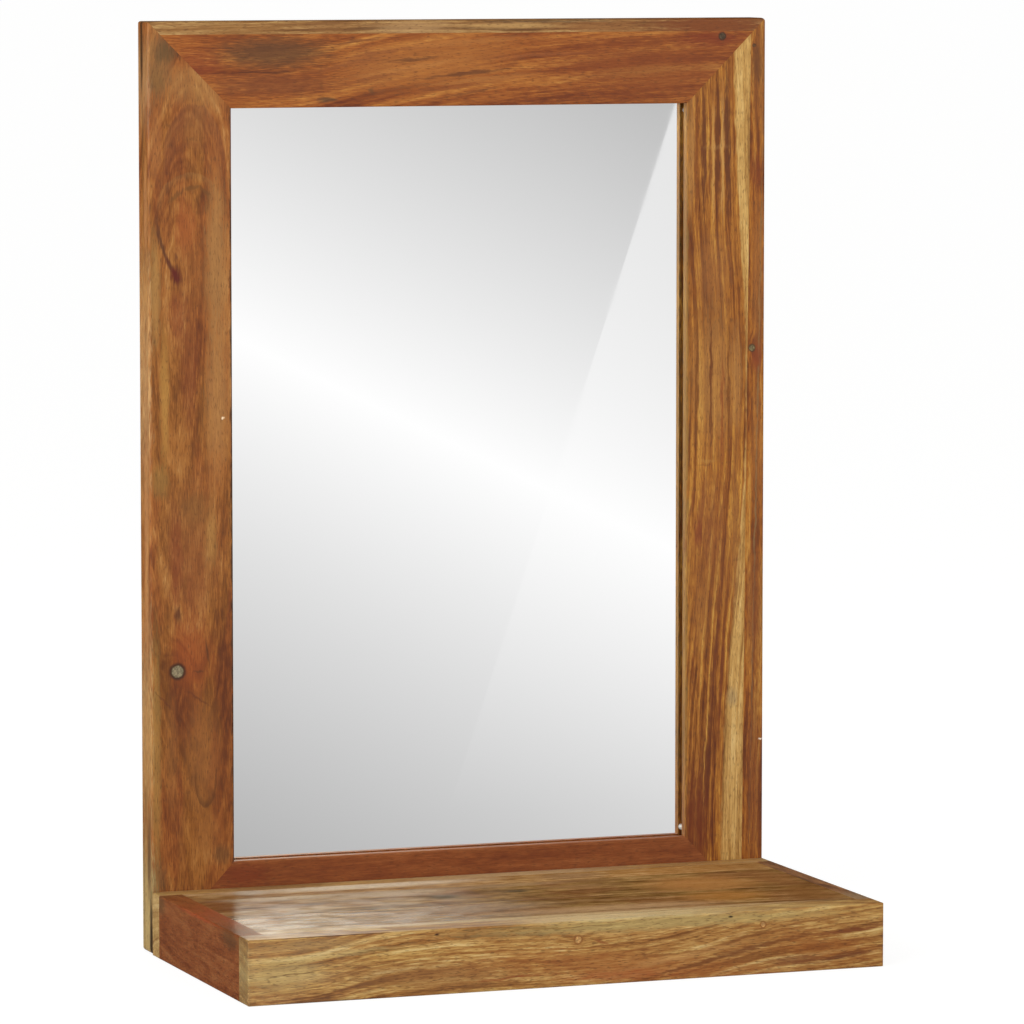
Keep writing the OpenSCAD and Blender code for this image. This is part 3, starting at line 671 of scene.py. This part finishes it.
# %% Shelf front board
shelf_front = {
    "axes": RAIL, "seed": 21.0, "band": 5.5, "contrast": 0.60, "band_length": 260, "wander": 2.5,
    "tone": 0.45, "lines": 0.4, "fibre": 0.30, "pore": 0.5,
    "coat": 0.8, "coat_roughness": 0.34, "worn": (-205, -135, 0.12),
    "pith": [(-248, -220, -60), (-195, -217, -60), (-150, -208, -60), (-100, -204, -60), (40, -203, -60),
             (100, -196, -60), (150, -186, -60), (200, -182, -60), (248, -177, -60)],
    "shades": ["#6a3f16", "#8f5e28", "#a87b3e", "#bb9451", "#ccae71"],
    "drift": ["#744618", "#98662e", "#ae8246", "#bf995a", "#cfb177"],
    "stains_and_painted_light": [
        (24, -252, 80, 6, 0, "#7e643c", 1.0),
        # painted reflection: a pale streak along the top edge, where the lacquer mirrors the light
        (49, 60, 3.0, 115, 0, "#cbb27c", 0.85),
        (22, -222, 14, 40, 0, "#b59c62", 0.60),
        (42, -205, 4.5, 62, 1, "#a8854e", 0.60),
        (34, -180, 2.4, 60, 4, "#bfa468", 0.60),
        (14, -110, 14, 80, -3, "#8d5f32", 0.60),
        (12, 50, 14, 150, -6, "#9a5a26", 0.55),
        (26, 150, 14, 60, 5, "#945c26", 0.50),
        (6, 40, 5, 60, 0, "#994a1e", 0.50),
        (16, 205, 13, 55, -8, "#8f4f16", 0.60),
        (9, 178, 5, 26, 0, "#744220", 0.65),
        (43, 60, 6, 160, 0, "#ad9960", 0.65),
        (18, 90, 3.0, 60, 9, "#b98a50", 0.50),
        (44.5, -105, 0.9, 2.4, 0, "#3a1c0c", 1.0),
        (44.0, 125.5, 1.3, 2.2, 0, "#26140a", 1.0),
        (11, 100, 1.7, 56, 11.5, "#6e3c14", 0.85),
        (22, 152, 1.7, 44, 9, "#6e3c14", 0.80),
        (29, 222, 2.1, 36, 4, "#733a14", 0.90),
        (19, 75, 1.1, 42, 3.5, "#84501f", 0.70),
        (28, 135, 1.5, 32, 14, "#774618", 0.80),
        (37.5, 190, 1.3, 40, 6, "#84501f", 0.70),
        (10, 215, 2.4, 30, 6, "#673512", 0.85),
        (22, -210, 0.9, 34, 4, "#7d5a26", 0.75),
        (36, -130, 0.8, 60, 3, "#86622e", 0.70),
        (44, -20, 0.7, 60, 0, "#86622e", 0.65),
        (31, 24, 1.0, 9, -14, "#84461c", 0.80),
        (9, -50, 1.2, 34, 2, "#8a431a", 0.70),
    ],
    "knots": [(34, 5, 2.9, "#b78a50", "#84501f"), (37, 151, 2.2, "#b98a50", "#875020")],
    "edge_stains_and_painted_shade": [
        (-129.4, -180, 0.55, 60, 0, "#523016", 0.90),
        (-122, -140, 5, 75, 0, "#7c4c26", 0.80),
        (-117, 20, 8, 90, 0, "#c09a5c", 0.50),
    ],
}
dress(timber("lacquered acacia, honey front", shelf_front), "shelf_front_board")

# %% [markdown]
# ## Shelf back board and side boards
# The back board is pale and shows its end grain at the left. The left side board is dark and
# reddish; the right one is dark too, with orange streaks along its top edge.

# %% Shelf back board and sides
shelf_back = {
    "axes": RAIL, "seed": 25.0, "band": 6.0, "contrast": 0.5, "coat": 0.4,
    "pith": [(-248, -130, 60), (248, -140, 60)],
    "shades": ["#80592c", "#9a733e", "#ae8a50", "#bf9d64", "#cbad78"],
    "stains_and_painted_light": [
        (24, 200, 40, 70, 0, "#8a5a2e", 0.60),
        (49, -155, 6, 50, 0, "#7d5a30", 0.70),
        (49, 40, 6, 110, 0, "#b89c74", 0.80),
    ],
}
left_side = {
    "axes": SIDE, "seed": 28.0, "band": 7.0, "contrast": 0.34, "wander": 9.0, "lines": 0.15,
    "mottle": 0.28,
    "pith": [(-110, -120, -200), (0, -112, -200), (90, -100, -200)],
    "shades": ["#58290d", "#713917", "#81461f", "#8d542a", "#9a6236"],
    "stains_and_painted_light": [
        (42, -88, 8, 26, 0, "#54391f", 0.65),
        (47, -10, 2.0, 60, 0, "#9a441e", 0.70),
        (42, 82, 9, 12, 0, "#5f4526", 0.60),
    ],
}
right_side = {
    "axes": SIDE, "seed": 31.0, "band": 6.0, "contrast": 0.5,
    "pith": [(-110, -120, 180), (90, -130, 180)],
    "shades": ["#543420", "#70482a", "#865936", "#9c6c42", "#b48452"],
    "stains_and_painted_light": [(48, 92, 8, 16, 0, "#6a4220", 0.60), (48, -100, 8, 30, 0, "#9a8262", 0.60)],
}
dress(timber("lacquered acacia, pale back", shelf_back), "shelf_back_board")
dress(timber("lacquered acacia, dark left side", left_side), "shelf_left_side")
dress(timber("lacquered acacia, dark right side", right_side), "shelf_right_side")

# %% [markdown]
# ## Shelf top
# Three planks between the boards: a narrow pale one at the back and two wide brown ones. The top
# got more lacquer than the frame, so at this low view it mirrors what stands above and behind it.
# Towards the right the lacquer is worn thin and the bare brown wood shows. At the left, pale patches
# on the rear and middle planks are painted reflection, over the lacquer's own.

# %% Shelf planks
GLOSSY_TOP = {
    "specular": 0.0, "coat": 1.0, "coat_roughness": 0.27, "worn": (-90, 40, 0.04), "band": 9.0,
    "tone": 0.58, "contrast": 0.5, "mottle": 0.5, "lines": 0.4, "fibre": 0.3, "drift_size": (30, 50),
}
rear_plank = {
    **GLOSSY_TOP, "axes": PLANK, "seed": 34.0, "tone": 0.52, "coat_roughness": 0.36,
    "worn": (-70, 70, 0.04), "pith": [(-230, -120, 20), (235, -114, 20)],
    "shades": ["#6a4622", "#835d30", "#967042", "#a98455", "#bc9a6c"],
    "stains_and_painted_light": [
        (70, 175, 24, 90, 0, "#a0703c", 0.60),
        # painted reflection: a whitish patch where the lacquer shows glare
        (78, -95, 14, 110, 0, "#dccdb4", 0.85),
        (70, 75, 18, 34, 0, "#8a6a4c", 0.60),
        (68, -214, 10, 10, 0, "#b3905f", 0.70),
        # painted reflection: a greyish white patch in the same glare
        (78, -180, 14, 16, 0, "#c6baa6", 0.80),
    ],
}
middle_plank = {
    **GLOSSY_TOP, "axes": PLANK, "seed": 37.0, "coat_roughness": 0.31,
    "pith": [(-230, -200, 20), (0, -190, 24), (235, -210, 20)],
    "shades": ["#40250f", "#5b3a1c", "#704a28", "#855d36", "#997048"],
    "drift": ["#452c12", "#624422", "#79582e", "#8e6c3e", "#a28050"],
    "stains_and_painted_light": [
        (46, -40, 12, 150, 0, "#9c8060", 0.60),
        # painted reflection: a whitish oval where the lacquer shows glare
        (50, -165, 18, 58, 0, "#c8b698", 0.85),
        (8, -50, 12, 16, 0, "#454034", 0.75),
        (16, 10, 8, 14, 0, "#433d30", 0.70),
        (42, 80, 12, 30, 0, "#6f4a28", 0.60),
        (0, 155, 44, 56, 0, "#a87440", 0.75),
        (20, -25, 8, 40, 0, "#5f4630", 0.50),
        (20, -220, 40, 14, 0, "#74431f", 0.60),
        (22, 60, 10, 40, 0, "#94704a", 0.60),
        # painted reflection: a paler oval in the same glare
        (37, -80, 17, 55, 0, "#c2b096", 0.60),
        (10, 218, 50, 22, 0, "#8a5c34", 0.70),
    ],
}
front_plank = {
    **GLOSSY_TOP, "axes": PLANK, "seed": 40.0,
    "pith": [(-230, -290, 20), (0, -280, 24), (235, -300, 20)],
    "shades": ["#452914", "#613e20", "#774f2b", "#8b6239", "#9e754a"],
    "drift": ["#4a3017", "#674824", "#7e5d31", "#936f41", "#a68453"],
    "stains_and_painted_light": [
        (-48, -50, 22, 80, 0, "#9c8266", 0.55),
        (-84, 48, 18, 106, 0, "#b08e66", 0.70),
        (-45, 60, 14, 60, 0, "#6c4628", 0.45),
        (-60, 150, 28, 40, 0, "#a26c34", 0.70),
        (-60, 215, 46, 24, 0, "#83592f", 0.70),
        (-104, -20, 8, 250, 0, "#c2a67a", 0.85),
        (-96, 180, 3, 60, -4, "#56371b", 0.65),
        (-92, 60, 1.5, 90, 0, "#5e4022", 0.55),
    ],
}
dress(timber("glossy acacia, rear plank", rear_plank), "shelf_rear_plank")
dress(timber("glossy acacia, middle plank", middle_plank), "shelf_middle_plank")
dress(timber("glossy acacia, front plank", front_plank), "shelf_front_plank")

# %% [markdown]
# ## Hidden timber
# Cleats, batten and dowels never get lacquer. They are plain sawn or turned wood, and the back
# panel is thin plywood, sanded and left bare.

# %% Cleats, dowels and back panel
BARE = {"coat": 0.0}
cleat = {
    "axes": SIDE, "seed": 43.0, "band": 7.0, "contrast": 0.5, "pith": [(-110, -130, 0), (90, -134, 0)],
    "shades": ["#7d5430", "#94683f", "#a67a4c", "#b58b5c"], **BARE,
}
dowel = {
    "axes": STILE, "seed": 46.0, "band": 4.0, "contrast": 0.4, "pith": [(0, 300, 60), (700, 300, 60)],
    "shades": ["#c7a878", "#d3b788", "#dec69a", "#e6d2aa"], **BARE,
}
plywood = {
    "axes": STILE, "seed": 49.0, "band": 14.0, "contrast": 0.6, "band_length": 700,
    "pith": [(0, 30, 190), (350, 10, 150), (700, -20, 200)],
    "shades": ["#9c7648", "#b18b5c", "#c09c6e", "#ccab80"], **BARE,
}
dress(timber("sawn acacia", cleat), "shelf_left_cleat", "shelf_right_cleat", "shelf_batten")
dress(timber("turned beech", dowel), "mitre_dowels", "shelf_dowels")
dress(timber("birch plywood", plywood), "back_panel")

# %% [markdown]
# ## Mirror glass
# Float glass with a layer of silver behind it. A metal shader with almost no roughness does both:
# it mirrors, and a faint noise in the roughness stands for the film that wiping leaves.

# %% Mirror
mirror_material, tree, shader = new_material("silvered float glass")
place = add(tree, "ShaderNodeTexCoord").outputs["Object"]
film = add(tree, "ShaderNodeTexNoise", {"Vector": place, "Scale": 1 / (60 * MM), "Detail": 4.0})
wiped = add(tree, "ShaderNodeMapRange", {0: film, 1: 0.35, 2: 0.75, 3: 0.004, 4: 0.018})
tree.links.new(wiped.outputs[0], shader.inputs["Roughness"])
shader.inputs["Metallic"].default_value = 1.0
shader.inputs["Base Color"].default_value = linear("#ffffff")
dress(mirror_material, "mirror_glass")

# %% [markdown]
# ## Packing sheet
# A thin sheet of foamed polyethylene presses the glass against its spacers. Foam is matt, and its
# closed cells, about a millimetre wide, are a Voronoi pattern in two near whites.

# %% Packing sheet
foam_material, tree, shader = new_material("polyethylene foam")
place = add(tree, "ShaderNodeTexCoord").outputs["Object"]
cells = add(tree, "ShaderNodeTexVoronoi", {"Vector": place, "Scale": 1 / (1.2 * MM)})
foam_colour = shades(tree, cells.outputs["Distance"], ["#dedcd4", "#ebeae4"])
tree.links.new(foam_colour.outputs[0], shader.inputs["Base Color"])
shader.inputs["Roughness"].default_value = 0.9
dress(foam_material, "packing_sheet")

# %% [markdown]
# ## Zinc-plated hardware
# Screws and keyhole plates come from steel with a thin, slightly blue zinc coat. It is a metal
# with a soft shine, and its plating clouds a little from place to place.

# %% Screws and hanger plates
zinc_material, tree, shader = new_material("zinc-plated steel")
place = add(tree, "ShaderNodeTexCoord").outputs["Object"]
cloud = add(tree, "ShaderNodeTexNoise", {"Vector": place, "Scale": 1 / (4 * MM), "Detail": 3.0})
zinc_colour = shades(tree, cloud, ["#a5a8ab", "#c3c6c9"])
tree.links.new(zinc_colour.outputs[0], shader.inputs["Base Color"])
dulled = add(tree, "ShaderNodeMapRange", {0: cloud, 1: 0.3, 2: 0.7, 3: 0.28, 4: 0.42})
tree.links.new(dulled.outputs[0], shader.inputs["Roughness"])
shader.inputs["Metallic"].default_value = 1.0
dress(zinc_material, "panel_screws", "hanger_plate_left", "hanger_plate_right", "hanger_screws",
      "cleat_screws", "plank_screws", "shelf_fixing_screws")

# %% [markdown]
# ## Glass spacers
# Small clear beads keep the glass off the lip. One catches the light in the gap at the lower
# right corner.

# %% Glass spacers
vinyl_material, tree, shader = new_material("clear vinyl")
place = add(tree, "ShaderNodeTexCoord").outputs["Object"]
haze = add(tree, "ShaderNodeTexNoise", {"Vector": place, "Scale": 1 / (1.5 * MM), "Detail": 2.0})
hazy = add(tree, "ShaderNodeMapRange", {0: haze, 1: 0.3, 2: 0.7, 3: 0.05, 4: 0.16})
tree.links.new(hazy.outputs[0], shader.inputs["Roughness"])
shader.inputs["Base Color"].default_value = linear("#f6f6f4")
shader.inputs["Transmission Weight"].default_value = 0.5
shader.inputs["IOR"].default_value = 1.5
dress(vinyl_material, "glass_spacers")

# %% [markdown]
# ## Studio: the floor
# A pale floor that runs out of the picture. Matt paint lit by lamps would come out grey, so for
# the camera the floor is mostly a plain white glow; it keeps a faint share of its real shading,
# so that the object still stands on it.

# %% Floor
FLOOR_SIZE = 120.0
FLOOR_DROP = 0.1 * MM
SHADOW_SHARE = 0.2
FLOOR_GLOW = 1.1
bpy.ops.mesh.primitive_plane_add(size=FLOOR_SIZE, location=(0, 0, -FLOOR_DROP))
floor = bpy.context.object
floor.name = "floor"
floor.visible_glossy = False
floor_material, tree, shader = new_material("matt white floor")
shader.inputs["Base Color"].default_value = linear("#f4f4f2")
shader.inputs["Roughness"].default_value = 1.0
shader.inputs["Specular IOR Level"].default_value = 0.0
seen_by_camera = add(tree, "ShaderNodeLightPath").outputs["Is Camera Ray"]
white_share = add(tree, "ShaderNodeMath", {0: seen_by_camera, 1: 1 - SHADOW_SHARE},
                  operation="MULTIPLY")
glow = add(tree, "ShaderNodeEmission", {"Color": (1, 1, 1, 1), "Strength": FLOOR_GLOW})
mixed = add(tree, "ShaderNodeMixShader", {0: white_share, 1: shader, 2: glow})
output = next(n for n in tree.nodes if n.type == "OUTPUT_MATERIAL")
tree.links.new(mixed.outputs[0], output.inputs["Surface"])
floor.data.materials.append(floor_material)
print("floor:", FLOOR_SIZE, "m wide, with a share of", SHADOW_SHARE, "of its shading")

# %% [markdown]
# ## Studio: what stands in front
# The photograph's mirror shows nothing but the studio, so that is drawn in the world, by where a
# ray goes. A ray that leaves towards the front hits an upright wall there, one unit away: its
# place on the wall is how far aside and how far above it lands. The wall is a soft grey that
# brightens to a slanting white band, and a wedge at one side is lighter, as from a card beside
# the lamp.

# %% World: where a ray lands on the wall in front
LEAST_AHEAD = 0.05
world = bpy.data.worlds.new("studio")
world.use_nodes = True
bpy.context.scene.world = world
tree = world.node_tree
tree.nodes.clear()
ray = add(tree, "ShaderNodeLightPath").outputs
towards = add(tree, "ShaderNodeTexCoord").outputs["Generated"]
direction = add(tree, "ShaderNodeSeparateXYZ", {0: towards}).outputs
ahead = add(tree, "ShaderNodeMath", {0: direction["Y"], 1: -1.0}, operation="MULTIPLY")
ahead = add(tree, "ShaderNodeMath", {0: ahead, 1: LEAST_AHEAD}, operation="MAXIMUM")
aside = add(tree, "ShaderNodeMath", {0: direction["X"], 1: ahead}, operation="DIVIDE")
above = add(tree, "ShaderNodeMath", {0: direction["Z"], 1: ahead}, operation="DIVIDE")
print("world, place on the wall:", len(tree.nodes), "nodes")

# %% World: the white band
BAND_SLOPE = -0.485
BAND_HEIGHT = 0.0828
BAND_FALL = 3.36
BAND_LEAST = 0.55
middle = add(tree, "ShaderNodeMath", {0: aside, 1: BAND_SLOPE, 2: BAND_HEIGHT},
             operation="MULTIPLY_ADD")
off_band = add(tree, "ShaderNodeMath", {0: above, 1: middle}, operation="SUBTRACT")
off_band = add(tree, "ShaderNodeMath", {0: off_band}, operation="ABSOLUTE")
level = add(tree, "ShaderNodeMath", {0: off_band, 1: -BAND_FALL, 2: 1.0}, operation="MULTIPLY_ADD")
level = add(tree, "ShaderNodeMath", {0: level, 1: BAND_LEAST}, operation="MAXIMUM")
print("world, band: from", BAND_LEAST, "to 1 on screen")

# %% World: the wedge
# right of a slanting line the grey is lifted, and most at the wedge's top
WEDGE_SLOPE = 0.344
WEDGE_FOOT = 0.4103
WEDGE_LIFT = 0.64
WEDGE_LOW = -0.155
WEDGE_HIGH = -0.03
SCREEN_GAMMA = 2.2
wedge_edge = add(tree, "ShaderNodeMath", {0: above, 1: WEDGE_SLOPE, 2: WEDGE_FOOT},
                 operation="MULTIPLY_ADD")
in_wedge = add(tree, "ShaderNodeMath", {0: aside, 1: wedge_edge}, operation="GREATER_THAN")
lift = add(tree, "ShaderNodeMapRange",
           {0: above, 1: WEDGE_LOW, 2: WEDGE_HIGH, 3: 0.0, 4: WEDGE_LIFT})
lift = add(tree, "ShaderNodeMath", {0: lift, 1: in_wedge}, operation="MULTIPLY")
darkness = add(tree, "ShaderNodeMath", {0: 1.0, 1: level}, operation="SUBTRACT")
level = add(tree, "ShaderNodeMath", {0: darkness, 1: lift, 2: level}, operation="MULTIPLY_ADD")
seen_in_front = add(tree, "ShaderNodeMath", {0: level, 1: SCREEN_GAMMA}, operation="POWER")
print("world, wedge: takes away", WEDGE_LIFT, "of the darkness at its top")

# %% [markdown]
# ## Studio: what stands above and beside
# Above the horizon a soft box reaches in from the left, and to its right hangs dim black cloth.
# Black cloth also stands to the sides, so that the flanks keep their colour. Low down it gives way
# to grey, for the metal on the back and for the mirror seen at a slant, but not at the left
# behind the object, which is where the left flank looks.

# %% World: soft box, cloth and grey
SOFT_BOX_LIGHT = 3.4
SOFT_BOX_EDGE = (0.30, 0.375)
CLOTH = 0.06
GREY = 0.5
soft_box_light = add(tree, "ShaderNodeMapRange",
                     {0: aside, 1: SOFT_BOX_EDGE[0], 2: SOFT_BOX_EDGE[1], 3: SOFT_BOX_LIGHT, 4: 0.0},
                     **SMOOTH)
up = add(tree, "ShaderNodeMapRange", {0: above, 1: -0.02, 2: 0.0, 3: 0.0, 4: 1.0}, **SMOOTH)
seen = add(tree, "ShaderNodeMix", {"Factor": up, "A": seen_in_front, "B": soft_box_light},
           data_type="FLOAT")

low = add(tree, "ShaderNodeMapRange", {0: direction["Z"], 1: -0.28, 2: -0.12, 3: 1.0, 4: 0.0},
          **SMOOTH)
not_left = add(tree, "ShaderNodeMapRange", {0: direction["X"], 1: -0.2, 2: 0.1, 3: 0.0, 4: 1.0},
               **SMOOTH)
not_behind = add(tree, "ShaderNodeMapRange", {0: direction["Y"], 1: -0.2, 2: 0.2, 3: 1.0, 4: 0.0},
                 **SMOOTH)
open_side = add(tree, "ShaderNodeMath", {0: not_left, 1: not_behind}, operation="MAXIMUM")
grey_share = add(tree, "ShaderNodeMath", {0: low, 1: open_side}, operation="MULTIPLY")
cloth = add(tree, "ShaderNodeMapRange", {0: grey_share, 1: 0.0, 2: 1.0, 3: CLOTH, 4: GREY})
beside = add(tree, "ShaderNodeMapRange", {0: direction["Y"], 1: -0.75, 2: -0.45, 3: 0.0, 4: 1.0},
             **SMOOTH)
seen = add(tree, "ShaderNodeMix", {"Factor": beside, "A": seen, "B": cloth}, data_type="FLOAT")
print("world, sides: cloth", CLOTH, "grey", GREY)

# %% [markdown]
# ## Studio: which ray sees what
# Only glossy rays see all that, and what they see above the horizon is slightly warm, as lamp
# light is. Matt surfaces get one plain light from everywhere, and the camera sees white, also
# through the clear beads. The world is the same all over for matt surfaces, so Cycles needn't aim
# samples at it.

# %% World: the light of each kind of ray
AMBIENT = 0.62
glossy = ray["Is Glossy Ray"]
strength = add(tree, "ShaderNodeMix", {"Factor": glossy, "A": AMBIENT, "B": seen}, data_type="FLOAT")
plain = add(tree, "ShaderNodeMath", {0: ray["Is Camera Ray"], 1: ray["Is Transmission Ray"]},
            operation="MAXIMUM")
strength = add(tree, "ShaderNodeMix", {"Factor": plain, "A": strength, "B": 1.0}, data_type="FLOAT")
warm_share = add(tree, "ShaderNodeMath", {0: up, 1: glossy}, operation="MULTIPLY")
light_colour = add(tree, "ShaderNodeMix",
                   {"Factor": warm_share, "A": (1, 1, 1, 1), "B": linear("#fff6e2")},
                   data_type="RGBA")
light = add(tree, "ShaderNodeBackground", {"Color": light_colour, "Strength": strength})
add(tree, "ShaderNodeOutputWorld", {"Surface": light})
world.cycles.sampling_method = "NONE"
print("world:", len(tree.nodes), "nodes, plain light", AMBIENT)

# %% [markdown]
# ## Lamps
# A large soft box stands at the front left and above, and a weaker one at the front right, so
# that every face shows its colour about as it is and the eased edges catch a thin light line. A
# third one stands far out at the left, for the flank and the shelf's left side.

# %% Soft boxes
def soft_box(name, place, size, watts):
    lamp = bpy.data.lights.new(name, "AREA")
    lamp.shape = "DISK"
    lamp.size = size
    lamp.energy = watts
    lamp_object = bpy.data.objects.new(name, lamp)
    bpy.context.scene.collection.objects.link(lamp_object)
    lamp_object.location = place
    aim = Vector(place) - CAMERA_TARGET
    lamp_object.rotation_euler = aim.to_track_quat("Z", "Y").to_euler()
    lamp_object.visible_camera = False
    print("lamp", name, "at", place)


soft_box("key", (-2.6, -2.0, 1.8), 1.6, 42.0)
soft_box("fill", (2.0, -2.2, 1.4), 1.4, 14.0)
soft_box("side", (-3.0, -0.4, 1.0), 1.4, 26.0)

# %% [markdown]
# ## Reflections
# The mirror in the photograph shows only the studio, so the shelf and its screws stay out of
# reflections.

# %% Reflections
for name in nodes:
    if name.startswith("shelf_") or name in ("cleat_screws", "plank_screws"):
        nodes[name].visible_glossy = False
